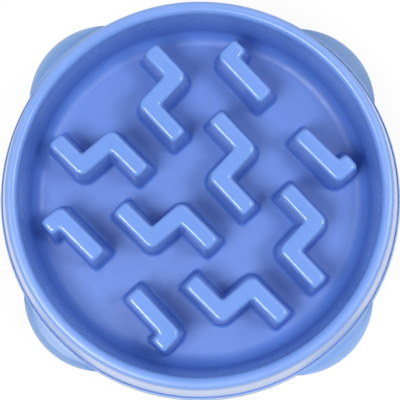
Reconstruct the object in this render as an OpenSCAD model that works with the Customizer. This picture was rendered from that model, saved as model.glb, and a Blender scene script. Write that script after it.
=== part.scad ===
// Slow feeder bowl, in millimetres.
// One moulded shell makes the rim, the inner wall, the floor with its maze of hollow ridges,
// the tapered skirt and the base ring with four lobes. A soft pad is pressed in under each lobe.
// The origin is on the table under the middle of the bowl, +Z is up and the front is -Y.

/* [Bowl] */
// Height from the table to the top of the rim
bowl_h = 40; // [38:0.5:56]
// Distance from the outside of the rim in to the outside of the base ring
rim_inset = 7.6; // [6:0.1:10]
// Width of the rim from its outside to the food side
rim_w = 6.5; // [5.5:0.1:8]
// Radius that rounds the rim over into the inner wall
rim_inner_round = 3; // [1:0.1:3.2]
// Radius of the outer edge of the rim
rim_outer_round = 2.3; // [0.6:0.1:2.4]
// Thickness of the solid rim above the hollow between the wall and the skirt
rim_solid_t = 4.2; // [3.6:0.1:6]
// Thickness of the moulded wall
wall_t = 2.4; // [1.8:0.1:2.6]
// Draft of the inner wall from the vertical, in degrees
wall_draft = 8; // [5:0.5:10]
// Height of the food side of the floor above the table
floor_z = 5; // [4.2:0.1:7]
// Radius between the inner wall and the floor
floor_round = 8; // [4:0.5:9]

/* [Base] */
// Diameter of the base ring
base_d = 216; // [212:0.5:232]
// Height of the base ring
base_ring_h = 8; // [7:0.1:10]
// Width of the ledge on top of the base ring
ring_ledge_w = 0.9; // [0.6:0.1:1.6]
// Radius of the upper edge of the base ring
ring_edge_round = 0.4; // [0.2:0.1:0.6]
// Draft of the outside of the base ring from the vertical, in degrees
ring_draft = 10; // [4:0.5:12]

/* [Lobes] */
// How far a lobe stands out beyond the base ring
lobe_overhang = 6.8; // [5:0.1:10]
// Diameter of the round outline of a lobe
lobe_d = 84; // [60:1:96]
// Turn of the lobes from the diagonals, clockwise from above, in degrees
lobe_turn = 1.1; // [0:0.1:3]
// Height of a lobe's outer edge
lobe_edge_h = 4.4; // [3.8:0.1:5]
// Slope of a lobe's top, in degrees
lobe_slope = 16.5; // [12:0.5:18]
// Radius of a lobe's outer edge
lobe_edge_round = 1.2; // [0.4:0.1:1.6]

/* [Maze] */
// Radius inside the top of the wall for which the places and lengths of the ridges below are given
maze_wall_r = 93.9; // [88:0.1:100]
// Height of the ridge crests above the table
crest_z = 35; // [26:0.5:38]
// Width of a crest, taken halfway round its edges
crest_w = 8.2; // [7.4:0.1:9]
// Radius of the edges of a crest
crest_round = 2.1; // [0.8:0.1:2.2]
// Radius of the corners at a ridge's ends
end_corner_round = 1.8; // [1.3:0.1:2.4]
// Radius inside a ridge's bends, below the round of the crest's edge
bend_inner_round = 1.6; // [0.6:0.1:2]
// Draft of the ridge sides from the vertical, in degrees
ridge_draft = 5; // [2:0.5:5.5]
// Radius between a ridge's sides and the floor
ridge_foot_round = 1.5; // [0.6:0.1:2]
// Thickness of the ridge walls
ridge_t = 2.2; // [1.6:0.1:2.4]
// Length of a zigzag's outer arms, from the bend to the end
arm_l = 22.9; // [18:0.1:25]
// Length of an arm that is cut short by the wall
short_arm_l = 19.3; // [16:0.1:22]
// Length between the two bends of a zigzag
link_l = 20.5; // [18:0.1:22]
// Length of the long arm of a hooked ridge
long_arm_l = 28.3; // [22:0.1:30]
// Length of the short hook of a hooked ridge
hook_l = 8.7; // [8.4:0.1:9.6]
// Slope of the arms and links of the upright zigzags, in degrees
upright_slope = 47; // [44:0.5:49]
// Slope of the arms of the lying zigzags, in degrees
lying_arm_slope = 45; // [42:0.5:48]
// Slope of the links of the lying zigzags, in degrees
lying_link_slope = 40.5; // [38:0.5:46]
// Distance of the middle zigzags from the bowl's axis, along X
zigzag_x = 17.1; // [16:0.1:19]
// Distance of the middle zigzags from the bowl's axis, along Y
zigzag_y = 16.4; // [15:0.1:18]
// Step to the next zigzag of a row, along X
row_step_x = 36.5; // [35:0.1:38]
// Step to the next zigzag of a row, along Y
row_step_y = 38; // [36.5:0.1:39]
// Place of the bend of the upper hooked ridge, along X
upper_hook_x = 15.1; // [14:0.1:16]
// Place of the bend of the upper hooked ridge, along Y
upper_hook_y = 71.8; // [70:0.1:72.5]
// Place of the bend of the side hooked ridge, along X
side_hook_x = 72.3; // [70:0.1:73]
// Place of the bend of the side hooked ridge, along Y
side_hook_y = 11.8; // [11:0.1:13]

/* [Foot pads] */
// Diameter of a pad
pad_d = 16; // [12:0.5:17]
// Thickness of a pad below its stem
pad_t = 2.4; // [1.8:0.1:2.8]
// How far the pads stand out below the shell
pad_proud = 1; // [0.5:0.1:1.4]
// Radius of a pad's lower edge
pad_edge_round = 0.6; // [0.2:0.1:0.9]
// Gap between a pad and the inside of its lobe
pad_gap = 1.6; // [0.6:0.1:3]
// Diameter of a pad's stem
stem_d = 6; // [4:0.1:7]
// Clearance between a stem and the sides and end of its socket
stem_clearance = 0.05; // [0.02:0.01:0.1]
// Thickness of plastic round a stem's socket
boss_t = 3; // [1.6:0.1:3.2]
// Thickness of plastic over a stem's socket
boss_roof_t = 1; // [0.8:0.1:1.2]

/* [Hidden] */

$fn = 96;
plastic = [0.47, 0.6, 0.92];
soft_rubber = [0.2, 0.23, 0.34];

// How far a cutting solid runs past the surface that it cuts
overrun = 1;
// How deep a ridge's foot is sunk into the floor that carries it
weld = 0.3;
// Straight steps along the rounds of the section, a small edge, a ridge's bends and its corners
round_steps = 8;
edge_steps = 4;
bend_steps = 5;
corner_steps = 2;

// The rim and the inner wall
rim_r = base_d / 2 - rim_inset;
shell_z = pad_proud;
inner_round_x = rim_r - rim_w + rim_inner_round;
inner_round_z = bowl_h - rim_inner_round;
outer_round_x = rim_r - rim_outer_round;
outer_round_z = bowl_h - rim_outer_round;
wall_top_x = inner_round_x - rim_inner_round * cos(wall_draft);
wall_top_z = inner_round_z + rim_inner_round * sin(wall_draft);
floor_round_z = floor_z + floor_round;
wall_foot_z = floor_round_z - floor_round * sin(wall_draft);
wall_foot_x = wall_top_x - (wall_top_z - wall_foot_z) * tan(wall_draft);
floor_round_x = wall_foot_x - floor_round * cos(wall_draft);

// The base ring and the skirt that rises from it to the rim
ring_r = base_d / 2;
ring_z = shell_z + base_ring_h;
ring_top_x = ring_r - base_ring_h * tan(ring_draft);
ring_round_x = ring_top_x - ring_edge_round * tan(45 - ring_draft / 2);
skirt_foot_x = ring_top_x - ring_ledge_w;
skirt_draft = tangent_angle([skirt_foot_x - outer_round_x, ring_z - outer_round_z], rim_outer_round);
hollow_top_z = bowl_h - rim_solid_t;

// The lobes, in the order front left, front right, back left, back right
lobe_angles = [for (a = [225, 315, 135, 45]) a - lobe_turn];
lobe_r = lobe_d / 2;
lobe_place_r = ring_r + lobe_overhang - lobe_r;
lobe_z = shell_z + lobe_edge_h;
// How much lower the top of a lobe's hollow edge lies, for the same wall along the slope
lobe_roof_drop = wall_t * (1 / cos(lobe_slope) - tan(lobe_slope));

// The ridges. Their plan grows and shrinks with the wall round it.
plan_share = (rim_r - rim_w) / maze_wall_r;
crest_half_w = crest_w / 2;
crest_mid_share = sin(45);
crest_side_z = crest_z - crest_round * (1 - sin(ridge_draft));
// The corners of a ridge get smaller on the round of its crest, down to this share
least_corner_share = 0.25;

// The pads, and the bosses in the lobes that hold them
pad_r = pad_d / 2;
pad_place_r = ring_r + lobe_overhang - wall_t - pad_gap - pad_r;
stem_r = stem_d / 2;
socket_r = stem_r + stem_clearance;
boss_r = socket_r + boss_t;
boss_top_z = lobe_top_z(lobe_r, lobe_z, pad_place_r + boss_r - lobe_place_r) - stem_clearance;
socket_top_z = boss_top_z - boss_roof_t;
stem_top_z = socket_top_z - stem_clearance;

// Direction, as an angle, in which a line from a point touches a round of radius r at the origin
function tangent_angle(from, r) = atan2(from.y, from.x) + acos(r / norm(from));

// Points along a round from one angle to another
function arc(x, z, r, from, to, steps) =
    [for (i = [0 : steps]) let (a = from + (to - from) * i / steps) [x + r * cos(a), z + r * sin(a)]];

// Where the hollow's sides are at a height, behind the inner wall and behind the skirt
function wall_out_x(z) = wall_top_x - (wall_top_z - z) * tan(wall_draft) + wall_t / cos(wall_draft);
function skirt_in_x(z) = skirt_foot_x - (z - ring_z) * tan(skirt_draft) - wall_t / cos(skirt_draft);

// Height of a lobe's sloped top at a distance from the lobe's own axis
function lobe_top_z(r, edge_z, at_r) =
    edge_z - lobe_edge_round + lobe_edge_round / cos(lobe_slope)
    + (r - lobe_edge_round - at_r) * tan(lobe_slope);

function way(angle) = [cos(angle), sin(angle)];
function unit(v) = v / norm(v);
function left_of(v) = [-v.y, v.x];
function turned(v, a) = [v.x * cos(a) - v.y * sin(a), v.x * sin(a) + v.y * cos(a)];
function reversed(list) = [for (i = [len(list) - 1 : -1 : 0]) list[i]];

// The outline of a ridge stands out from the middle of its crest edges by these offsets:
// on the round of the edge, at a turn from the flat crest
function edge_out(turn) = crest_round * (sin(turn) - crest_mid_share);
// and on the drafted side, at a height
function side_out(z) = edge_out(90 - ridge_draft) + (crest_side_z - z) * tan(ridge_draft);

// Levels of the outside of a ridge from its foot upwards, each a height and an outline offset:
// the foot in the floor, the round up from the floor and the round over to the crest
function ridge_levels() =
    let (side_turn = 90 - ridge_draft,
         foot_out = side_out(floor_z + ridge_foot_round * (1 - sin(ridge_draft)))
                    + ridge_foot_round * cos(ridge_draft),
         foot = [for (i = [0 : corner_steps]) let (turn = side_turn * i / corner_steps)
             [floor_z + ridge_foot_round * (1 - cos(turn)), foot_out - ridge_foot_round * sin(turn)]],
         edge = [for (i = [0 : edge_steps]) let (turn = side_turn * (1 - i / edge_steps))
             [crest_z - crest_round * (1 - cos(turn)), edge_out(turn)]],
         rise = foot[1] - foot[0])
    concat([foot[0] - rise * weld / rise[0]], [for (i = [1 : corner_steps]) foot[i]], edge);

// Levels of the hollow inside a ridge, which is open below
function hollow_levels() =
    let (low = floor_z - wall_t - overrun, high = crest_z - ridge_t, skin = ridge_t / cos(ridge_draft))
    [[low, side_out(low) - skin], [high, side_out(high) - skin]];

// One side of a bend: the outer side runs round the bend's middle, and the inner side round a small
// radius, which grows where the crest's edge turns inwards
function bend_side(middle, before, after, side, out) =
    let (r = crest_half_w + out,
         turn = atan2(cross(before, after), before * after),
         first = side * left_of(before),
         half = turned(first, turn / 2),
         is_outer = side * turn < 0,
         inner_r = bend_inner_round - min(out, 0),
         inner_middle = middle + half * (r + inner_r) / (half * first))
    [for (i = [0 : bend_steps]) let (n = turned(first, turn * i / bend_steps))
        is_outer ? middle + n * r : inner_middle - n * inner_r];

// One side of an end, round its corner. Both ways are unit vectors.
function end_side(tip, end_way, side_way, out) =
    let (r = max(end_corner_round + min(out, 0), end_corner_round * least_corner_share),
         corner = tip + end_way * (out - r) + side_way * (crest_half_w + out - r))
    [for (i = [0 : corner_steps]) let (a = 90 * i / corner_steps)
        corner + r * (side_way * cos(a) + end_way * sin(a))];

// The whole of one side of a ridge, from its first end to its last
function ridge_side(route, side, out) =
    let (last = len(route) - 1,
         ways = [for (i = [0 : last - 1]) unit(route[i + 1] - route[i])],
         first_way = ways[0],
         last_way = ways[last - 1])
    concat(
        reversed(end_side(route[0], -first_way, side * left_of(first_way), out)),
        [for (i = [1 : last - 1]) each bend_side(route[i], ways[i - 1], ways[i], side, out)],
        end_side(route[last], last_way, side * left_of(last_way), out));

// A zigzag has two bends joined by a link, and an arm from each
function zigzag(middle, to_first_bend, arm_way, first_arm_l) = [
    middle + to_first_bend - arm_way * first_arm_l,
    middle + to_first_bend,
    middle - to_first_bend,
    middle - to_first_bend + arm_way * arm_l];

// A hooked ridge has a short hook and a long arm from one bend
function hooked(bend, hook_way, arm_way) = [bend + hook_way * hook_l, bend, bend + arm_way * long_arm_l];

upright_way = way(-upright_slope);
upright_link = way(upright_slope) * link_l / 2;
lying_way = way(-lying_arm_slope);
lying_link = way(lying_link_slope) * link_l / 2;
row_middle = [zigzag_x, zigzag_y];
row_step = [row_step_x, -row_step_y];
upper_hook = hooked([upper_hook_x, upper_hook_y], way(upright_slope), upright_way);
side_hook = hooked([side_hook_x, side_hook_y], way(lying_link_slope), -lying_way);

// The middle line of each ridge. The first zigzag of each row has an arm cut short by the wall.
ridge_routes = plan_share * concat(
    [for (i = [-1 : 1])
        zigzag(row_middle + i * row_step, upright_link, upright_way, i < 0 ? short_arm_l : arm_l)],
    [for (i = [-1 : 1])
        zigzag(-row_middle + i * row_step, -lying_link, lying_way, i < 0 ? short_arm_l : arm_l)],
    [upper_hook, side_hook, -upper_hook, -side_hook]);

// The shell without ridges and lobes, as one section that turns round the bowl's axis
module shell_section() {
    food_side = concat(
        [[0, floor_z]],
        arc(floor_round_x, floor_round_z, floor_round, -90, -wall_draft, round_steps),
        arc(inner_round_x, inner_round_z, rim_inner_round, 180 - wall_draft, 90, round_steps));
    outside = concat(
        arc(outer_round_x, outer_round_z, rim_outer_round, 90, skirt_draft, round_steps),
        [[skirt_foot_x, ring_z]],
        arc(ring_round_x, ring_z - ring_edge_round, ring_edge_round, 90, ring_draft, edge_steps),
        [[ring_r, shell_z]]);
    inside = concat(
        [for (z = [shell_z, hollow_top_z]) [skirt_in_x(z), z]],
        [[wall_out_x(hollow_top_z), hollow_top_z]],
        arc(floor_round_x, floor_round_z, floor_round + wall_t, -wall_draft, -90, round_steps),
        [[0, floor_z - wall_t]]);
    polygon(concat(food_side, outside, inside));
}

module at_lobe(angle, place_r) {
    rotate(angle) translate([place_r, 0, 0]) children();
}

// A lobe is a low round block with a sloped top and a rounded edge, turned round its own axis
module lobe_block(r, edge_z, bottom_z) {
    rotate_extrude()
    polygon(concat(
        [[0, bottom_z], [r, bottom_z]],
        arc(r - lobe_edge_round, edge_z - lobe_edge_round, lobe_edge_round, 0, 90 - lobe_slope, edge_steps),
        [[0, lobe_top_z(r, edge_z, 0)]]));
}

module inside_of(r) {
    translate([0, 0, -overrun]) cylinder(r = r, h = bowl_h);
}

module lobes() {
    difference() {
        for (a = lobe_angles) at_lobe(a, lobe_place_r) lobe_block(lobe_r, lobe_z, shell_z);
        inside_of(ring_r - wall_t);
    }
}

// What is taken out from below, so that the lobes are as thin as the skirt and open to its hollow
module lobe_hollows() {
    difference() {
        for (a = lobe_angles) at_lobe(a, lobe_place_r)
        lobe_block(lobe_r - wall_t, lobe_z - lobe_roof_drop, -overrun);
        inside_of(skirt_in_x(lobe_z) - overrun);
    }
}

module bosses() {
    for (a = lobe_angles) at_lobe(a, pad_place_r)
    translate([0, 0, pad_t]) cylinder(r = boss_r, h = boss_top_z - pad_t);
}

module sockets() {
    for (a = lobe_angles) at_lobe(a, pad_place_r) cylinder(r = socket_r, h = socket_top_z);
}

// A ridge is lofted through one closed outline for each level
module ridge_loft(route, levels) {
    rings = [for (level = levels)
        let (left = ridge_side(route, 1, level[1]), right = ridge_side(route, -1, level[1]))
        [for (p = concat(left, reversed(right))) [p.x, p.y, level[0]]]];
    n = len(rings[0]);
    top = (len(rings) - 1) * n;
    sides = [for (k = [0 : len(rings) - 2]) for (i = [0 : n - 1])
        let (a = k * n + i, b = k * n + (i + 1) % n)
        each [[a, b, b + n], [a, b + n, a + n]]];
    bottom_faces = [for (i = [0 : n / 2 - 2]) let (j = n - 1 - i)
        each [[i, j, i + 1], [j, j - 1, i + 1]]];
    top_faces = [for (face = bottom_faces) [for (v = reversed(face)) v + top]];
    polyhedron(points = [for (ring = rings) each ring], faces = concat(sides, bottom_faces, top_faces));
}

module bowl_shell() {
    color(plastic)
    difference() {
        union() {
            difference() {
                union() {
                    rotate_extrude() shell_section();
                    lobes();
                    for (route = ridge_routes) ridge_loft(route, ridge_levels());
                }
                lobe_hollows();
                for (route = ridge_routes) ridge_loft(route, hollow_levels());
            }
            bosses();
        }
        sockets();
    }
}

// A pad is a round cushion with a stem that is pressed into its boss
module foot_pad(angle) {
    color(soft_rubber)
    at_lobe(angle, pad_place_r)
    rotate_extrude()
    polygon(concat(
        [[0, 0]],
        arc(pad_r - pad_edge_round, pad_edge_round, pad_edge_round, -90, 0, edge_steps),
        [[pad_r, pad_t], [stem_r, pad_t], [stem_r, stem_top_z], [0, stem_top_z]]));
}

bowl_shell();
foot_pad(lobe_angles[0]);  // foot_pad_front_left
foot_pad(lobe_angles[1]);  // foot_pad_front_right
foot_pad(lobe_angles[2]);  // foot_pad_back_left
foot_pad(lobe_angles[3]);  // foot_pad_back_right
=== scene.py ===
"""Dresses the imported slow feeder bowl: a finely rounded moulded shell, soft pads and a plain studio.

Lengths are in metres, through MM. The bowl stands on the floor at z = 0, +Z is up and the front is -Y.
"""

from math import asin, atan2, cos, degrees, hypot, pi, radians, sin, tan

import bmesh
import bpy
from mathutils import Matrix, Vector


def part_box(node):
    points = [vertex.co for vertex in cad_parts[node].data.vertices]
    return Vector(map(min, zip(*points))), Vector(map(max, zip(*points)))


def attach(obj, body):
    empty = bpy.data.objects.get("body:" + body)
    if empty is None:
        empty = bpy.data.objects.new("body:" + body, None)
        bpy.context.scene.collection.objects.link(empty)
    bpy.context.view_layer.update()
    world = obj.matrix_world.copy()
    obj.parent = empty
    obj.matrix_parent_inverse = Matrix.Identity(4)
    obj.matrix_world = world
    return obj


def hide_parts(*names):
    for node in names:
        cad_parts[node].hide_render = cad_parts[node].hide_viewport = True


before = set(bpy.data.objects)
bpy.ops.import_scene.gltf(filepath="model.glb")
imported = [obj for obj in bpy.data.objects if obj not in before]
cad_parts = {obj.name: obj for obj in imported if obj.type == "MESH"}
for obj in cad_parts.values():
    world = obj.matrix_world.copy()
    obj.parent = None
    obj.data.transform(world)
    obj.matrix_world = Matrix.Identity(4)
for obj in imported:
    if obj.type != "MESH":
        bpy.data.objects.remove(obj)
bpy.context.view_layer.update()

MM = 0.001
FULL_TURN = 2 * pi
RIGHT_ANGLE = pi / 2
DIAGONAL = pi / 4

# The shell's section, as in the CAD model
BOWL_H = 40 * MM
RIM_R = 100.4 * MM
RIM_W = 6.5 * MM
RIM_SOLID_T = 4.2 * MM
RIM_INNER_ROUND = 3 * MM
RIM_OUTER_ROUND = 2.3 * MM
WALL_T = 2.4 * MM
WALL_DRAFT = radians(8)
FLOOR_Z = 5 * MM
FLOOR_ROUND = 8 * MM
SHELL_Z = 1 * MM
RING_R = 108 * MM
RING_TOP_Z = 9 * MM
LEDGE_W = 0.9 * MM
RING_EDGE_ROUND = 0.4 * MM
RING_DRAFT = radians(10)

# The groove at the skirt's foot and the small rounds, which only the visible shell has
GROOVE_R = 0.24 * MM
GROOVE_DEPTH = 0.6 * MM
RING_LOW_ROUND = 0.4 * MM
HOLLOW_TOP_ROUND = 0.8 * MM

# The lobes, turned a little clockwise from the diagonals
LOBE_TURN = radians(1.1)
LOBE_ANGLES = {
    "front_left": radians(225) - LOBE_TURN,
    "front_right": radians(315) - LOBE_TURN,
    "back_left": radians(135) - LOBE_TURN,
    "back_right": radians(45) - LOBE_TURN,
}
LOBE_R = 42 * MM
LOBE_PLACE_R = 72.8 * MM
LOBE_EDGE_Z = 5.4 * MM
LOBE_EDGE_ROUND = 1.2 * MM

# The even slope of the CAD model's lobes, and the crown of the visible ones, which follows it closely
LOBE_SLOPE = radians(16.5)
LOBE_OUTER_SLOPE = radians(25)
LOBE_INNER_SLOPE = radians(12)
LOBE_CROWN_R = 15 * MM

# The ridges, as in the CAD model but for their end corners, which are a little rounder
CREST_Z = 35 * MM
CREST_HALF_W = 4.1 * MM
CREST_ROUND = 2.1 * MM
END_CORNER_ROUND = 2.4 * MM
BEND_INNER_ROUND = 1.6 * MM
RIDGE_DRAFT = radians(5)
RIDGE_T = 2.2 * MM
RIDGE_FOOT_ROUND = 1.5 * MM
ARM_L = 22.9 * MM
SHORT_ARM_L = 19.3 * MM
LINK_L = 20.5 * MM
LONG_ARM_L = 28.3 * MM
HOOK_L = 8.7 * MM
UPRIGHT_SLOPE = radians(47)
LYING_ARM_SLOPE = radians(45)
LYING_LINK_SLOPE = radians(40.5)
ZIGZAG_MIDDLE = Vector((17.1, 16.4)) * MM
ROW_STEP = Vector((36.5, -38)) * MM
UPPER_HOOK_BEND = Vector((15.1, 71.8)) * MM
SIDE_HOOK_BEND = Vector((72.3, 11.8)) * MM

# How much of a crest's inset its end corners lose, and the height at which a crest's round meets the side
END_ROUND_SHARE = 0.5
CREST_SIDE_Z = CREST_Z - CREST_ROUND * (1 - sin(RIDGE_DRAFT))

# How deep a ridge is sunk in the floor, how far a tool runs past what it cuts, and the shortest edge kept
WELD = 0.3 * MM
OVERRUN = 1 * MM
LEAST_EDGE = 0.001 * MM

# The pads and the bosses that hold them
PAD_R = 8 * MM
PAD_T = 2.4 * MM
PAD_EDGE_ROUND = 0.6 * MM
PAD_PLACE_R = 102.8 * MM
STEM_R = 3 * MM
SOCKET_R = 3.05 * MM
BOSS_R = 6.05 * MM
BOSS_ROOF_T = 1 * MM
STEM_CLEARANCE = 0.05 * MM
GRIP_RINGS = [2.2 * MM, 4.1 * MM, 6 * MM]
GRIP_RING_HALF_W = 0.35 * MM
GRIP_RING_DEPTH = 0.3 * MM

# The little moulding rings on two of the hooked ridges
MARK_PLACE = Vector((73.6, 12.7)) * MM
MARK_R = 1.1 * MM
MARK_WIRE_R = 0.16 * MM

# Straight steps for the visible rounds, and the angle from which an edge stays sharp
TURN_STEPS = 288
LOBE_STEPS = 192
PAD_STEPS = 96
ROUND_STEPS = 14
BEND_STEPS = 14
CORNER_STEPS = 6
EDGE_STEPS = 8
FOOT_STEPS = 6
SHARP_ANGLE = radians(31)

# Noises, each with its scale for a metre and its detail, and the values between which they turn into colour
CLOUDS = 28, 3
HAZE = 160, 5
RIPPLE = 420, 2
DUST = 90, 4
GRAIN = 1500, 3
FLOOR_CLOUDS = 6, 3
NOISE_ENDS = 0.35, 0.65

# Colours, each from its darkest to its lightest
# A deeper blue on the floor and the low walls, painted shade
PAINTED_FLOOR_SHADE_BLUE = (0.09, 0.2, 0.58), (0.102, 0.218, 0.62)
CREST_BLUE = (0.158, 0.3, 0.74), (0.17, 0.318, 0.77)
# A paler blue on the rim and the outside, a painted sheen and painted light through the thin plastic
PAINTED_SHEEN_BLUE = (0.31, 0.47, 0.8), (0.34, 0.5, 0.84)
# The palest blue on the skirt, a painted reflection of the white floor
SKIRT_REFLECTION_BLUE = (0.49, 0.6, 0.91), (0.52, 0.63, 0.94)
# A paler, greyer blue than the crests' on the lobes, painted light through their thin plastic
LOBE_LIT_BLUE = (0.21, 0.365, 0.67), (0.225, 0.385, 0.7)
# A deeper blue on the lobes beside the ring, painted shade in the crease
CREASE_SHADE_BLUE = (0.18, 0.33, 0.69), (0.195, 0.35, 0.72)
# A paler blue at the lobes' edges, a painted highlight
EDGE_HIGHLIGHT_BLUE = (0.31, 0.46, 0.75), (0.33, 0.48, 0.78)
SLATE = (0.028, 0.036, 0.082), (0.04, 0.05, 0.105)
PALE_FLOOR = (0.86, 0.86, 0.87), (0.88, 0.88, 0.88)

# Roughness, each from its least to its most, and the strength and height of what roughs up a surface
GLOSS = 0.12, 0.15
WORN = 0.28, 0.31
SATIN = 0.4, 0.5
MATT = 0.72, 0.88
RIPPLE_BUMP = 0.12, 0.05 * MM
GRAIN_BUMP = 0.3, 0.1 * MM

# How the plastic bends light, and how much light it scatters, in which colour and how deep
PLASTIC_IOR = 1.57
SCATTER_SHARE = 0.12
SCATTER_COLOUR = (0.5, 0.8, 1.4)
SCATTER_DEPTH = 1.5 * MM

# The studio floor
FLOOR_R = 3000 * MM
FLOOR_T = 10 * MM
FLOOR_ROUGHNESS = 0.8
FLOOR_GLOSS = 0.1
FLOOR_WHITE_SHARE = 0.9

# The camera, with its lens and sensor in millimetres
CAMERA_LENS = 131.4
CAMERA_SENSOR = 36
CAMERA_SHIFT = 0.0019, -0.0162
CAMERA_DISTANCE = 750 * MM
FRONT_LEAN = radians(4.6)
RIGHT_LEAN = radians(0.7)

# Each lamp's azimuth and elevation in degrees, its width and height, and its power in watts
LAMPS = {
    "softbox_right": (1, 64, 260 * MM, 260 * MM, 3.9),
    "softbox_front_left": (219, 67, 440 * MM, 400 * MM, 8.8),
    "softbox_back_right": (45, 57, 900 * MM, 700 * MM, 2.5),
}
LAMP_DISTANCE = 1200 * MM
SKY_LIGHT = 0.3
SKY_SEEN = 1


def arc(x, z, r, start, end, steps):
    """Points along a round, from one angle in degrees to another."""
    turns = [radians(start + (end - start) * i / steps) for i in range(steps + 1)]
    return [(x + r * cos(t), z + r * sin(t)) for t in turns]


def way(angle):
    """The flat direction at an angle from +X."""
    return Vector((cos(angle), sin(angle)))


def left_of(v):
    """A flat direction turned left by a right angle."""
    return Vector((-v.y, v.x))


def turned(v, angle):
    """A flat direction turned left by an angle."""
    return Vector((v.x * cos(angle) - v.y * sin(angle), v.x * sin(angle) + v.y * cos(angle)))


def tangent_angle(x, z, r):
    """Direction in which a line from a point touches a round of radius r at the origin."""
    return atan2(z, x) + RIGHT_ANGLE - asin(r / hypot(x, z))


def new_object(name, points, faces):
    """A closed mesh object with its faces turned outwards."""
    mesh = bpy.data.meshes.new(name)
    mesh.from_pydata([tuple(p) for p in points], [], faces)
    made = bmesh.new()
    made.from_mesh(mesh)
    bmesh.ops.recalc_face_normals(made, faces=made.faces)
    made.to_mesh(mesh)
    made.free()
    piece = bpy.data.objects.new(name, mesh)
    bpy.context.scene.collection.objects.link(piece)
    return piece


def revolved(name, section, steps, middle=(0, 0)):
    """A section of (distance, height) points, closed along the axis or on itself, turned full circle."""
    points, rings = [], []
    for r, z in section:
        count = steps if r > 0 else 1
        rings.append(list(range(len(points), len(points) + count)))
        for i in range(count):
            turn = FULL_TURN * i / steps
            points.append((middle[0] + r * cos(turn), middle[1] + r * sin(turn), z))
    faces = []
    for ring, after in zip(rings, rings[1:] + rings[:1]):
        if len(ring) == 1 and len(after) == 1:
            continue
        for i in range(steps):
            j = (i + 1) % steps
            if len(ring) == 1:
                faces.append([ring[0], after[i], after[j]])
            elif len(after) == 1:
                faces.append([ring[i], ring[j], after[0]])
            else:
                faces.append([ring[i], ring[j], after[j], after[i]])
    return new_object(name, points, faces)


def drum(name, r, low, high, steps, middle=(0, 0)):
    """A plain round block between two heights."""
    return revolved(name, [(0, low), (r, low), (r, high), (0, high)], steps, middle)


def combine(target, operation, tools):
    """Joins the closed tools to the target or takes them out of it, and deletes them."""
    for tool in tools:
        change = target.modifiers.new("change", "BOOLEAN")
        change.operation = operation
        change.solver = "MANIFOLD"
        change.object = tool
    graph = bpy.context.evaluated_depsgraph_get()
    made = bpy.data.meshes.new_from_object(target.evaluated_get(graph))
    target.modifiers.clear()
    old = target.data
    made.name = old.name
    target.data = made
    bpy.data.meshes.remove(old)
    for tool in tools:
        bpy.data.objects.remove(tool)


def clean_mesh(piece):
    """Takes out the slivers that a chain of booleans leaves, and keeps the mesh closed."""
    made = bmesh.new()
    made.from_mesh(piece.data)
    bmesh.ops.remove_doubles(made, verts=made.verts, dist=LEAST_EDGE)
    bmesh.ops.triangulate(made, faces=made.faces)
    bmesh.ops.dissolve_degenerate(made, edges=made.edges, dist=LEAST_EDGE)
    made.to_mesh(piece.data)
    made.free()


def shade_smooth(piece):
    """Shades a piece smooth but for its sharp edges."""
    piece.data.shade_smooth()
    piece.data.set_sharp_from_angle(angle=SHARP_ANGLE)


# The shell without its ridges and lobes

WALL_ROUND_X = RIM_R - RIM_W + RIM_INNER_ROUND
WALL_ROUND_Z = BOWL_H - RIM_INNER_ROUND
EDGE_ROUND_X = RIM_R - RIM_OUTER_ROUND
EDGE_ROUND_Z = BOWL_H - RIM_OUTER_ROUND
WALL_TOP_X = WALL_ROUND_X - RIM_INNER_ROUND * cos(WALL_DRAFT)
WALL_TOP_Z = WALL_ROUND_Z + RIM_INNER_ROUND * sin(WALL_DRAFT)
FLOOR_ROUND_Z = FLOOR_Z + FLOOR_ROUND
WALL_FOOT_Z = FLOOR_ROUND_Z - FLOOR_ROUND * sin(WALL_DRAFT)
WALL_FOOT_X = WALL_TOP_X - (WALL_TOP_Z - WALL_FOOT_Z) * tan(WALL_DRAFT)
FLOOR_ROUND_X = WALL_FOOT_X - FLOOR_ROUND * cos(WALL_DRAFT)
RING_TOP_X = RING_R - (RING_TOP_Z - SHELL_Z) * tan(RING_DRAFT)
RING_ROUND_X = RING_TOP_X - RING_EDGE_ROUND * tan(DIAGONAL - RING_DRAFT / 2)
SKIRT_FOOT_X = RING_TOP_X - LEDGE_W
SKIRT_DRAFT = tangent_angle(SKIRT_FOOT_X - EDGE_ROUND_X, RING_TOP_Z - EDGE_ROUND_Z, RIM_OUTER_ROUND)
HOLLOW_TOP_Z = BOWL_H - RIM_SOLID_T


def wall_out_x(z):
    """Distance from the axis to the wall's hidden side, at a height."""
    return WALL_TOP_X - (WALL_TOP_Z - z) * tan(WALL_DRAFT) + WALL_T / cos(WALL_DRAFT)


def skirt_in_x(z):
    """Distance from the axis to the skirt's hidden side, at a height."""
    return SKIRT_FOOT_X - (z - RING_TOP_Z) * tan(SKIRT_DRAFT) - WALL_T / cos(SKIRT_DRAFT)


def ring_x(z):
    """Distance from the axis to the base ring's side, at a height."""
    return RING_TOP_X + (RING_TOP_Z - z) * tan(RING_DRAFT)


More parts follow.
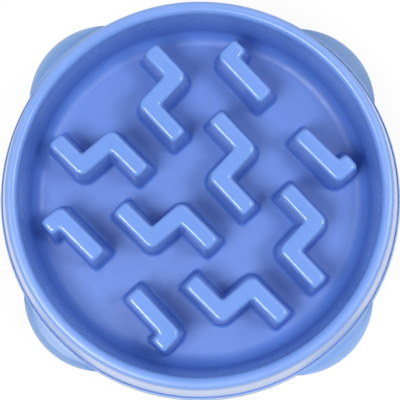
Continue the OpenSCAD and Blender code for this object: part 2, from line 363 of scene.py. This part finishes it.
def shell_section():
    """The section from the middle of the floor over the rim to the ring, and back below the floor."""
    draft, skirt, ring = degrees(WALL_DRAFT), degrees(SKIRT_DRAFT), degrees(RING_DRAFT)
    groove_z = RING_TOP_Z - GROOVE_DEPTH + GROOVE_R
    groove_x = SKIRT_FOOT_X - (groove_z - RING_TOP_Z) * tan(SKIRT_DRAFT) + GROOVE_R / cos(SKIRT_DRAFT)
    low_z = SHELL_Z + RING_LOW_ROUND
    low_out_x = ring_x(low_z) - RING_LOW_ROUND / cos(RING_DRAFT)
    low_in_x = skirt_in_x(low_z) + RING_LOW_ROUND / cos(SKIRT_DRAFT)
    top_z = HOLLOW_TOP_Z - HOLLOW_TOP_ROUND
    top_out_x = skirt_in_x(top_z) - HOLLOW_TOP_ROUND / cos(SKIRT_DRAFT)
    top_in_x = wall_out_x(top_z) + HOLLOW_TOP_ROUND / cos(WALL_DRAFT)
    section = [(0, FLOOR_Z)]
    section += arc(FLOOR_ROUND_X, FLOOR_ROUND_Z, FLOOR_ROUND, -90, -draft, ROUND_STEPS)
    section += arc(WALL_ROUND_X, WALL_ROUND_Z, RIM_INNER_ROUND, 180 - draft, 90, ROUND_STEPS)
    section += arc(EDGE_ROUND_X, EDGE_ROUND_Z, RIM_OUTER_ROUND, 90, skirt, ROUND_STEPS)
    section += arc(groove_x, groove_z, GROOVE_R, 180 + skirt, 360, EDGE_STEPS)
    section += arc(RING_ROUND_X, RING_TOP_Z - RING_EDGE_ROUND, RING_EDGE_ROUND, 90, ring, EDGE_STEPS)
    section += arc(low_out_x, low_z, RING_LOW_ROUND, ring, -90, EDGE_STEPS)
    section += arc(low_in_x, low_z, RING_LOW_ROUND, -90, skirt - 180, EDGE_STEPS)
    section += arc(top_out_x, top_z, HOLLOW_TOP_ROUND, skirt, 90, EDGE_STEPS)
    section += arc(top_in_x, top_z, HOLLOW_TOP_ROUND, 90, 180 - draft, EDGE_STEPS)
    section += arc(FLOOR_ROUND_X, FLOOR_ROUND_Z, FLOOR_ROUND + WALL_T, -draft, -90, ROUND_STEPS)
    section += [(0, FLOOR_Z - WALL_T)]
    return section


# The lobes

def lobe_slope_z(at_r):
    """Height of the CAD model's evenly sloped lobes, at a distance from a lobe's own axis."""
    level = LOBE_EDGE_Z - LOBE_EDGE_ROUND + LOBE_EDGE_ROUND / cos(LOBE_SLOPE)
    return level + (LOBE_R - LOBE_EDGE_ROUND - at_r) * tan(LOBE_SLOPE)


def lobe_section(r, edge_z, bottom_z):
    """A lobe's section: a rounded edge, and a top that is a little crowned, flatter beside the ring."""
    outer, inner = degrees(LOBE_OUTER_SLOPE), degrees(LOBE_INNER_SLOPE)
    edge_x, edge_round_z = r - LOBE_EDGE_ROUND, edge_z - LOBE_EDGE_ROUND
    crown_x = edge_x - (LOBE_CROWN_R - LOBE_EDGE_ROUND) * sin(LOBE_OUTER_SLOPE)
    crown_z = edge_round_z - (LOBE_CROWN_R - LOBE_EDGE_ROUND) * cos(LOBE_OUTER_SLOPE)
    edge = arc(edge_x, edge_round_z, LOBE_EDGE_ROUND, 0, 90 - outer, EDGE_STEPS)
    crown = arc(crown_x, crown_z, LOBE_CROWN_R, 90 - outer, 90 - inner, ROUND_STEPS)[1:]
    top_x, top_z = crown[-1]
    return [(0, bottom_z), (r, bottom_z), *edge, *crown, (0, top_z + top_x * tan(LOBE_INNER_SLOPE))]


def lobe(name, angle, r, edge_z, bottom_z, keep_out_r):
    """A lobe as a crowned round block, without what lies inside a radius round the bowl's axis."""
    block = revolved(name, lobe_section(r, edge_z, bottom_z), LOBE_STEPS, way(angle) * LOBE_PLACE_R)
    core = drum("core", keep_out_r, -2 * OVERRUN, BOWL_H, TURN_STEPS)
    combine(block, "DIFFERENCE", [core])
    return block


# The ridges

def edge_out(turn):
    """How far a crest's round stands out from its own middle, by its turn from straight up."""
    return CREST_ROUND * (sin(turn) - sin(DIAGONAL))


def side_out(z):
    """How far a drafted side stands out from the middle of the crest's edge, at a height."""
    return edge_out(RIGHT_ANGLE - RIDGE_DRAFT) + (CREST_SIDE_Z - z) * tan(RIDGE_DRAFT)


def ridge_levels():
    """Levels of the outside of a ridge from its foot upwards, each a height and an outline offset."""
    side_turn = RIGHT_ANGLE - RIDGE_DRAFT
    foot_top_z = FLOOR_Z + RIDGE_FOOT_ROUND * (1 - sin(RIDGE_DRAFT))
    foot_out = side_out(foot_top_z) + RIDGE_FOOT_ROUND * cos(RIDGE_DRAFT)
    levels = []
    for i in range(FOOT_STEPS + 1):
        turn = side_turn * i / FOOT_STEPS
        z = FLOOR_Z + RIDGE_FOOT_ROUND * (1 - cos(turn))
        levels.append((z, foot_out - RIDGE_FOOT_ROUND * sin(turn)))
    levels[0] = (FLOOR_Z - WELD, foot_out)
    for i in range(EDGE_STEPS + 1):
        turn = side_turn * (1 - i / EDGE_STEPS)
        levels.append((CREST_Z - CREST_ROUND * (1 - cos(turn)), edge_out(turn)))
    return levels


def hollow_levels():
    """The lowest and highest level of the hollow in a ridge, each a height and an outline offset."""
    low = FLOOR_Z - WALL_T - OVERRUN
    high = CREST_Z - RIDGE_T
    skin = RIDGE_T / cos(RIDGE_DRAFT)
    return [(low, side_out(low) - skin), (high, side_out(high) - skin)]


def bend_side(middle, before, after, side, out):
    """One side of a bend between two directions.

    The outer side goes round the bend's middle, and the inner one round a small radius that grows on the
    crest.
    """
    r = CREST_HALF_W + out
    turn = atan2(before.x * after.y - before.y * after.x, before.dot(after))
    first = side * left_of(before)
    if side * turn < 0:
        return [middle + r * turned(first, turn * i / BEND_STEPS) for i in range(BEND_STEPS + 1)]
    half = turned(first, turn / 2)
    inner_r = BEND_INNER_ROUND - min(out, 0)
    inner = middle + half * (r + inner_r) / half.dot(first)
    return [inner - inner_r * turned(first, turn * i / BEND_STEPS) for i in range(BEND_STEPS + 1)]


def end_side(tip, end_way, side_way, out):
    """One rounded corner of a ridge's end, from its side round to its tip."""
    r = END_CORNER_ROUND + END_ROUND_SHARE * min(out, 0)
    corner = tip + end_way * (out - r) + side_way * (CREST_HALF_W + out - r)
    turns = [RIGHT_ANGLE * i / CORNER_STEPS for i in range(CORNER_STEPS + 1)]
    return [corner + r * (side_way * cos(t) + end_way * sin(t)) for t in turns]


def ridge_side(route, side, out):
    """One side of a ridge's outline, from one end of its middle line to the other."""
    ways = [(b - a).normalized() for a, b in zip(route, route[1:])]
    points = end_side(route[0], -ways[0], side * left_of(ways[0]), out)[::-1]
    for bend, before, after in zip(route[1:], ways, ways[1:]):
        points += bend_side(bend, before, after, side, out)
    return points + end_side(route[-1], ways[-1], side * left_of(ways[-1]), out)


def ridge(name, route, levels):
    """A ridge lofted through one closed outline for each level, with its caps split across the ridge."""
    points = []
    for z, out in levels:
        outline = ridge_side(route, 1, out) + ridge_side(route, -1, out)[::-1]
        points += [(p.x, p.y, z) for p in outline]
    n = len(points) // len(levels)
    faces = []
    for k in range(len(levels) - 1):
        for i in range(n):
            a, b = k * n + i, k * n + (i + 1) % n
            faces.append([a, b, b + n, a + n])
    top = (len(levels) - 1) * n
    for i in range(n // 2 - 1):
        j = n - 1 - i
        faces.append([i, j, j - 1, i + 1])
        faces.append([top + i, top + i + 1, top + j - 1, top + j])
    return new_object(name, points, faces)


def zigzag(middle, to_first_bend, arm_way, first_arm):
    """A zigzag's middle line: an arm, a slanted link round its middle, and a second arm."""
    first, second = middle + to_first_bend, middle - to_first_bend
    return [first - arm_way * first_arm, first, second, second + arm_way * ARM_L]


def hooked(bend, hook_way, arm_way):
    """A hooked ridge's middle line: a short hook, a bend and a long arm."""
    return [bend + hook_way * HOOK_L, bend, bend + arm_way * LONG_ARM_L]


def half_turned(route):
    """A middle line turned half round the bowl's axis."""
    return [-p for p in route]


def ridge_routes():
    """The middle line of each ridge. The first zigzag of each row has an arm cut short by the wall."""
    upright, lying = way(-UPRIGHT_SLOPE), way(-LYING_ARM_SLOPE)
    upright_link = way(UPRIGHT_SLOPE) * LINK_L / 2
    lying_link = way(LYING_LINK_SLOPE) * LINK_L / 2
    routes = []
    for step in (-1, 0, 1):
        first_arm = SHORT_ARM_L if step < 0 else ARM_L
        routes.append(zigzag(ZIGZAG_MIDDLE + step * ROW_STEP, upright_link, upright, first_arm))
        routes.append(zigzag(-ZIGZAG_MIDDLE + step * ROW_STEP, -lying_link, lying, first_arm))
    upper = hooked(UPPER_HOOK_BEND, way(UPRIGHT_SLOPE), upright)
    side = hooked(SIDE_HOOK_BEND, way(LYING_LINK_SLOPE), -lying)
    return routes + [upper, side, half_turned(upper), half_turned(side)]


def moulding_mark(name, place):
    """A fine raised ring, left by the mould on a crest."""
    wire = arc(MARK_R, CREST_Z, MARK_WIRE_R, 0, 360, CORNER_STEPS * 2)[:-1]
    return revolved(name, wire, PAD_STEPS, place)


# The whole pieces

def make_shell():
    """The one-piece shell, with its lobes, hollow ridges, moulding rings, bosses and sockets."""
    shell = revolved("bowl_body", shell_section(), TURN_STEPS)
    hollow_edge_z = LOBE_EDGE_Z - WALL_T * (1 / cos(LOBE_SLOPE) - tan(LOBE_SLOPE))
    hollow_from_r = skirt_in_x(LOBE_EDGE_Z) - OVERRUN
    roof_z = lobe_slope_z(PAD_PLACE_R + BOSS_R - LOBE_PLACE_R)
    socket_top = roof_z - STEM_CLEARANCE - BOSS_ROOF_T
    boss_top = socket_top + BOSS_ROOF_T / 2
    lobes, hollows, bosses, sockets = [], [], [], []
    for angle in LOBE_ANGLES.values():
        spot = way(angle) * PAD_PLACE_R
        lobes.append(lobe("lobe", angle, LOBE_R, LOBE_EDGE_Z, SHELL_Z, RING_R - WALL_T))
        hollows.append(lobe("hollow", angle, LOBE_R - WALL_T, hollow_edge_z, -OVERRUN, hollow_from_r))
        bosses.append(drum("boss", BOSS_R, PAD_T, boss_top, PAD_STEPS, spot))
        sockets.append(drum("socket", SOCKET_R, 0, socket_top, PAD_STEPS, spot))
    routes = ridge_routes()
    marks = [moulding_mark("mark", side * MARK_PLACE) for side in (1, -1)]
    ridges = [ridge("ridge", route, ridge_levels()) for route in routes]
    combine(shell, "UNION", lobes + ridges + marks)
    combine(shell, "DIFFERENCE", hollows + [ridge("hollow", route, hollow_levels()) for route in routes])
    combine(shell, "UNION", bosses)
    combine(shell, "DIFFERENCE", sockets)
    clean_mesh(shell)
    shade_smooth(shell)
    return shell


def pad_section():
    """A pad's section, with shallow grip rings in its underside and a rounded lower edge."""
    section = [(0, 0)]
    for r in GRIP_RINGS:
        section += [(r - GRIP_RING_HALF_W, 0), (r, GRIP_RING_DEPTH), (r + GRIP_RING_HALF_W, 0)]
    section += arc(PAD_R - PAD_EDGE_ROUND, PAD_EDGE_ROUND, PAD_EDGE_ROUND, -90, 0, EDGE_STEPS)
    stem_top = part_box("foot_pad_front_left")[1].z
    return section + [(PAD_R, PAD_T), (STEM_R, PAD_T), (STEM_R, stem_top), (0, stem_top)]


# Materials

def node_material(name):
    """A new material with its node tree and its one shader."""
    material = bpy.data.materials.new(name)
    material.use_nodes = True
    tree = material.node_tree
    tree.nodes.clear()
    shader = tree.nodes.new("ShaderNodeBsdfPrincipled")
    output = tree.nodes.new("ShaderNodeOutputMaterial")
    tree.links.new(shader.outputs["BSDF"], output.inputs["Surface"])
    return material, tree, shader


def add_place(tree):
    """The place on the object, in metres."""
    return tree.nodes.new("ShaderNodeTexCoord").outputs["Object"]


def add_noise(tree, place, scale, detail):
    """A soft noise over the object."""
    noise = tree.nodes.new("ShaderNodeTexNoise")
    noise.inputs["Scale"].default_value = scale
    noise.inputs["Detail"].default_value = detail
    tree.links.new(place, noise.inputs["Vector"])
    return noise.outputs["Fac"]


def add_ramp(tree, noise, low, high):
    """Turns a noise into a colour or a grey between two ends."""
    ramp = tree.nodes.new("ShaderNodeValToRGB")
    for end, at, value in zip(ramp.color_ramp.elements, NOISE_ENDS, (low, high)):
        end.position = at
        end.color = (*value, 1) if isinstance(value, tuple) else (value, value, value, 1)
    tree.links.new(noise, ramp.inputs["Fac"])
    return ramp.outputs["Color"]


def add_share(tree, source, low, high):
    """Turns a source value into a share from 0 at its low end to 1 at its high end."""
    share = tree.nodes.new("ShaderNodeMapRange")
    share.inputs["From Min"].default_value = low
    share.inputs["From Max"].default_value = high
    tree.links.new(source, share.inputs["Value"])
    return share.outputs["Result"]


def add_mix(tree, share, first, second):
    """Mixes a share of a second colour or grey into a first."""
    mix = tree.nodes.new("ShaderNodeMix")
    mix.data_type = "RGBA"
    tree.links.new(share, mix.inputs["Factor"])
    tree.links.new(first, mix.inputs["A"])
    tree.links.new(second, mix.inputs["B"])
    return mix.outputs["Result"]


def add_math(tree, operation, first, second):
    """Works out one value from two, kept from 0 to 1."""
    result = tree.nodes.new("ShaderNodeMath")
    result.operation = operation
    result.use_clamp = True
    tree.links.new(first, result.inputs[0])
    tree.links.new(second, result.inputs[1])
    return result.outputs["Value"]


def add_band(tree, source, low, full_from, full_to, high):
    """A share that rises from 0 at the low end to 1, stays there, and falls back to 0 at the high end."""
    rise = add_share(tree, source, low, full_from)
    fall = add_share(tree, source, high, full_to)
    return add_math(tree, "MINIMUM", rise, fall)


def add_flat_place(tree, place):
    """The place without its height."""
    flat = tree.nodes.new("ShaderNodeVectorMath")
    flat.operation = "MULTIPLY"
    flat.inputs[1].default_value = (1, 1, 0)
    tree.links.new(place, flat.inputs[0])
    return flat.outputs["Vector"]


def add_axis_distance(tree, flat_place):
    """Distance from the bowl's axis."""
    distance = tree.nodes.new("ShaderNodeVectorMath")
    distance.operation = "LENGTH"
    tree.links.new(flat_place, distance.inputs[0])
    return distance.outputs["Value"]


def add_lobe_distance(tree, flat_place):
    """Distance from the nearest lobe's own axis, with the four lobes folded onto the back right one."""
    spin = tree.nodes.new("ShaderNodeVectorRotate")
    spin.rotation_type = "Z_AXIS"
    spin.inputs["Angle"].default_value = LOBE_TURN
    tree.links.new(flat_place, spin.inputs["Vector"])
    fold = tree.nodes.new("ShaderNodeVectorMath")
    fold.operation = "ABSOLUTE"
    tree.links.new(spin.outputs["Vector"], fold.inputs[0])
    distance = tree.nodes.new("ShaderNodeVectorMath")
    distance.operation = "DISTANCE"
    distance.inputs[1].default_value = (*way(DIAGONAL) * LOBE_PLACE_R, 0)
    tree.links.new(fold.outputs["Vector"], distance.inputs[0])
    return distance.outputs["Value"]


def add_satin_shaded_floor(tree, place):
    """A share by height: 1 on the floor, which the mould leaves satin, and 0 at the ridges' crests."""
    split = tree.nodes.new("ShaderNodeSeparateXYZ")
    tree.links.new(place, split.inputs["Vector"])
    return add_share(tree, split.outputs["Z"], CREST_Z - CREST_ROUND, FLOOR_Z + FLOOR_ROUND)


def add_bump(tree, shader, noise, strength, height):
    """Roughs up a shader's surface by a noise."""
    bump = tree.nodes.new("ShaderNodeBump")
    bump.inputs["Strength"].default_value = strength
    bump.inputs["Distance"].default_value = height
    tree.links.new(noise, bump.inputs["Height"])
    tree.links.new(bump.outputs["Normal"], shader.inputs["Normal"])


# Distances from the axis: where the outside's painted sheen begins, and the bands of the skirt's painted
# reflection, of the painted shade in the groove at its foot and of the painted shade beside the ring. Then
# the width of the painted highlight at a lobe's edge.
SHEEN_FROM_R = 96 * MM
# The band of the painted reflection on the skirt
SKIRT_REFLECTION_BAND = RIM_R + 0.2 * MM, RIM_R + 1 * MM, SKIRT_FOOT_X - 2.1 * MM, SKIRT_FOOT_X - 0.3 * MM
# The band of painted shade in the groove at the skirt's foot
GROOVE_SHADE_BAND = SKIRT_FOOT_X - 0.3 * MM, SKIRT_FOOT_X, SKIRT_FOOT_X + 0.4 * MM, SKIRT_FOOT_X + 0.7 * MM
# The band of painted shade on the lobes beside the ring
CREASE_SHADE_BAND = RING_R - 0.2 * MM, RING_R + 0.4 * MM, RING_R + 1.5 * MM, RING_R + 2.2 * MM
# The width of the painted highlight at a lobe's edge
HIGHLIGHT_EDGE_W = 3 * MM


def plastic_material():
    """Glossy moulded plastic with faint flow clouds, an uneven gloss and a soft ripple.

    Its colour paints light and shade: a deeper blue on the satin floor is painted shade, a paler blue on the
    rim and the outside is a painted sheen, and the palest blue on the skirt is a painted reflection, with a
    darker line of painted shade in the groove at the skirt's foot. The lobes have a paler blue of painted
    light through their thin plastic, deeper with painted shade beside the ring and lighter with a painted
    highlight at their edges. The ridges' crests are glossiest, and the rim and the outside less so.
    """
    material, tree, shader = node_material("periwinkle_plastic")
    place = add_place(tree)
    flat_place = add_flat_place(tree, place)
    distance = add_axis_distance(tree, flat_place)
    lobe_distance = add_lobe_distance(tree, flat_place)
    outside = add_share(tree, distance, SHEEN_FROM_R, SKIRT_FOOT_X)
    # The floor's share carries both the satin gloss and the deeper blue painted as shade
    inside = add_math(tree, "SUBTRACT", add_satin_shaded_floor(tree, place), outside)
    past_ring = add_share(tree, distance, RING_R, RING_R + LOBE_EDGE_ROUND)
    at_lobe_edge = add_share(tree, lobe_distance, LOBE_R - HIGHLIGHT_EDGE_W, LOBE_R)
    # Where each blue lies, each over those before it
    layers = [
        # Painted shade: the floor and the low walls deeper blue
        (inside, PAINTED_FLOOR_SHADE_BLUE),
        # Painted sheen: the rim and the outside paler
        (outside, PAINTED_SHEEN_BLUE),
        # Painted reflection: the skirt palest
        (add_band(tree, distance, *SKIRT_REFLECTION_BAND), SKIRT_REFLECTION_BLUE),
        # Painted shade: a darker line in the groove at the skirt's foot
        (add_band(tree, distance, *GROOVE_SHADE_BAND), CREST_BLUE),
        # Painted light: the lobes paler than the crests
        (add_share(tree, distance, RING_TOP_X, RING_R), LOBE_LIT_BLUE),
        # Painted shade: the lobes deeper beside the ring
        (add_band(tree, distance, *CREASE_SHADE_BAND), CREASE_SHADE_BLUE),
        # Painted highlight: the lobes' edges paler
        (add_math(tree, "MULTIPLY", past_ring, at_lobe_edge), EDGE_HIGHLIGHT_BLUE),
    ]
    clouds = add_noise(tree, place, *CLOUDS)
    colour = add_ramp(tree, clouds, *CREST_BLUE)
    for share, blue in layers:
        colour = add_mix(tree, share, colour, add_ramp(tree, clouds, *blue))
    tree.links.new(colour, shader.inputs["Base Color"])

    haze = add_noise(tree, place, *HAZE)
    rough = add_mix(tree, inside, add_ramp(tree, haze, *GLOSS), add_ramp(tree, haze, *SATIN))
    on_rim = add_share(tree, distance, WALL_FOOT_X, WALL_TOP_X)
    rough = add_mix(tree, on_rim, rough, add_ramp(tree, haze, *WORN))
    tree.links.new(rough, shader.inputs["Roughness"])
    add_bump(tree, shader, add_noise(tree, place, *RIPPLE), *RIPPLE_BUMP)
    shader.inputs["IOR"].default_value = PLASTIC_IOR
    shader.inputs["Subsurface Weight"].default_value = SCATTER_SHARE
    shader.inputs["Subsurface Radius"].default_value = SCATTER_COLOUR
    shader.inputs["Subsurface Scale"].default_value = SCATTER_DEPTH
    return material


def rubber_material():
    """Matt slate rubber with a fine grain."""
    material, tree, shader = node_material("slate_rubber")
    place = add_place(tree)
    dust = add_noise(tree, place, *DUST)
    tree.links.new(add_ramp(tree, dust, *SLATE), shader.inputs["Base Color"])
    grain = add_noise(tree, place, *GRAIN)
    tree.links.new(add_ramp(tree, grain, *MATT), shader.inputs["Roughness"])
    add_bump(tree, shader, grain, *GRAIN_BUMP)
    return material


def floor_material():
    """A pale floor that shows nearly white to the camera and in reflections, and keeps a soft shadow."""
    material, tree, shader = node_material("pale_floor")
    clouds = add_noise(tree, add_place(tree), *FLOOR_CLOUDS)
    tree.links.new(add_ramp(tree, clouds, *PALE_FLOOR), shader.inputs["Base Color"])
    shader.inputs["Roughness"].default_value = FLOOR_ROUGHNESS
    shader.inputs["Specular IOR Level"].default_value = FLOOR_GLOSS
    seen = tree.nodes.new("ShaderNodeLightPath")
    either = add_math(tree, "MAXIMUM", seen.outputs["Is Camera Ray"], seen.outputs["Is Glossy Ray"])
    share = tree.nodes.new("ShaderNodeMath")
    share.operation = "MULTIPLY"
    share.inputs[1].default_value = FLOOR_WHITE_SHARE
    tree.links.new(either, share.inputs[0])
    white = tree.nodes.new("ShaderNodeEmission")
    blend = tree.nodes.new("ShaderNodeMixShader")
    tree.links.new(share.outputs["Value"], blend.inputs["Fac"])
    tree.links.new(shader.outputs["BSDF"], blend.inputs[1])
    tree.links.new(white.outputs["Emission"], blend.inputs[2])
    output = next(node for node in tree.nodes if node.type == "OUTPUT_MATERIAL")
    tree.links.new(blend.outputs["Shader"], output.inputs["Surface"])
    return material


def set_material(piece, material):
    """Gives a piece one material alone."""
    piece.data.materials.clear()
    piece.data.materials.append(material)


# The studio

def make_camera():
    """The photograph's view: nearly straight down, from a little to the front and to the right."""
    data = bpy.data.cameras.new("camera")
    data.lens = CAMERA_LENS
    data.sensor_width = CAMERA_SENSOR
    data.shift_x, data.shift_y = CAMERA_SHIFT
    camera = bpy.data.objects.new("camera", data)
    right = cos(FRONT_LEAN) * sin(RIGHT_LEAN)
    up = cos(FRONT_LEAN) * cos(RIGHT_LEAN)
    away = Vector((right, -sin(FRONT_LEAN), up))
    camera.location = Vector((0, 0, BOWL_H)) + away * CAMERA_DISTANCE
    camera.rotation_euler = (FRONT_LEAN, RIGHT_LEAN, 0)
    bpy.context.scene.collection.objects.link(camera)
    bpy.context.scene.camera = camera


def add_lamp(name, azimuth, elevation, width, height, power):
    """A soft rectangular lamp that looks at the bowl. Azimuth 0 is +X and 90 is +Y."""
    data = bpy.data.lights.new(name, "AREA")
    data.shape = "RECTANGLE"
    data.size = width
    data.size_y = height
    data.energy = power
    lamp = bpy.data.objects.new(name, data)
    a, e = radians(azimuth), radians(elevation)
    away = Vector((cos(a) * cos(e), sin(a) * cos(e), sin(e)))
    lamp.location = away * LAMP_DISTANCE
    lamp.rotation_mode = "QUATERNION"
    lamp.rotation_quaternion = away.to_track_quat("Z", "Y")
    bpy.context.scene.collection.objects.link(lamp)


def make_sky():
    """A plain world that shows white to the camera and lights the object less."""
    world = bpy.data.worlds.new("studio")
    world.use_nodes = True
    tree = world.node_tree
    sky = tree.nodes["Background"]
    sky.inputs["Color"].default_value = (1, 1, 1, 1)
    seen = tree.nodes.new("ShaderNodeLightPath")
    level = tree.nodes.new("ShaderNodeMapRange")
    level.inputs["To Min"].default_value = SKY_LIGHT
    level.inputs["To Max"].default_value = SKY_SEEN
    tree.links.new(seen.outputs["Is Camera Ray"], level.inputs["Value"])
    tree.links.new(level.outputs["Result"], sky.inputs["Strength"])
    bpy.context.scene.world = world


def make_studio():
    """The pale floor, the plain world and the soft lamps."""
    floor = drum("studio_floor", FLOOR_R, -FLOOR_T, 0, PAD_STEPS)
    set_material(floor, floor_material())
    make_sky()
    for name, setting in LAMPS.items():
        add_lamp(name, *setting)
    bpy.context.scene.view_settings.view_transform = "Standard"


plastic = plastic_material()
rubber = rubber_material()

shell = make_shell()
set_material(shell, plastic)
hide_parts("bowl_shell")
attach(shell, "root")

for place, angle in LOBE_ANGLES.items():
    pad = revolved("pad_" + place, pad_section(), PAD_STEPS, way(angle) * PAD_PLACE_R)
    shade_smooth(pad)
    set_material(pad, rubber)
    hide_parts("foot_pad_" + place)
    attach(pad, "root")

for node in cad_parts.values():
    set_material(node, plastic if node.name == "bowl_shell" else rubber)

make_camera()
make_studio()
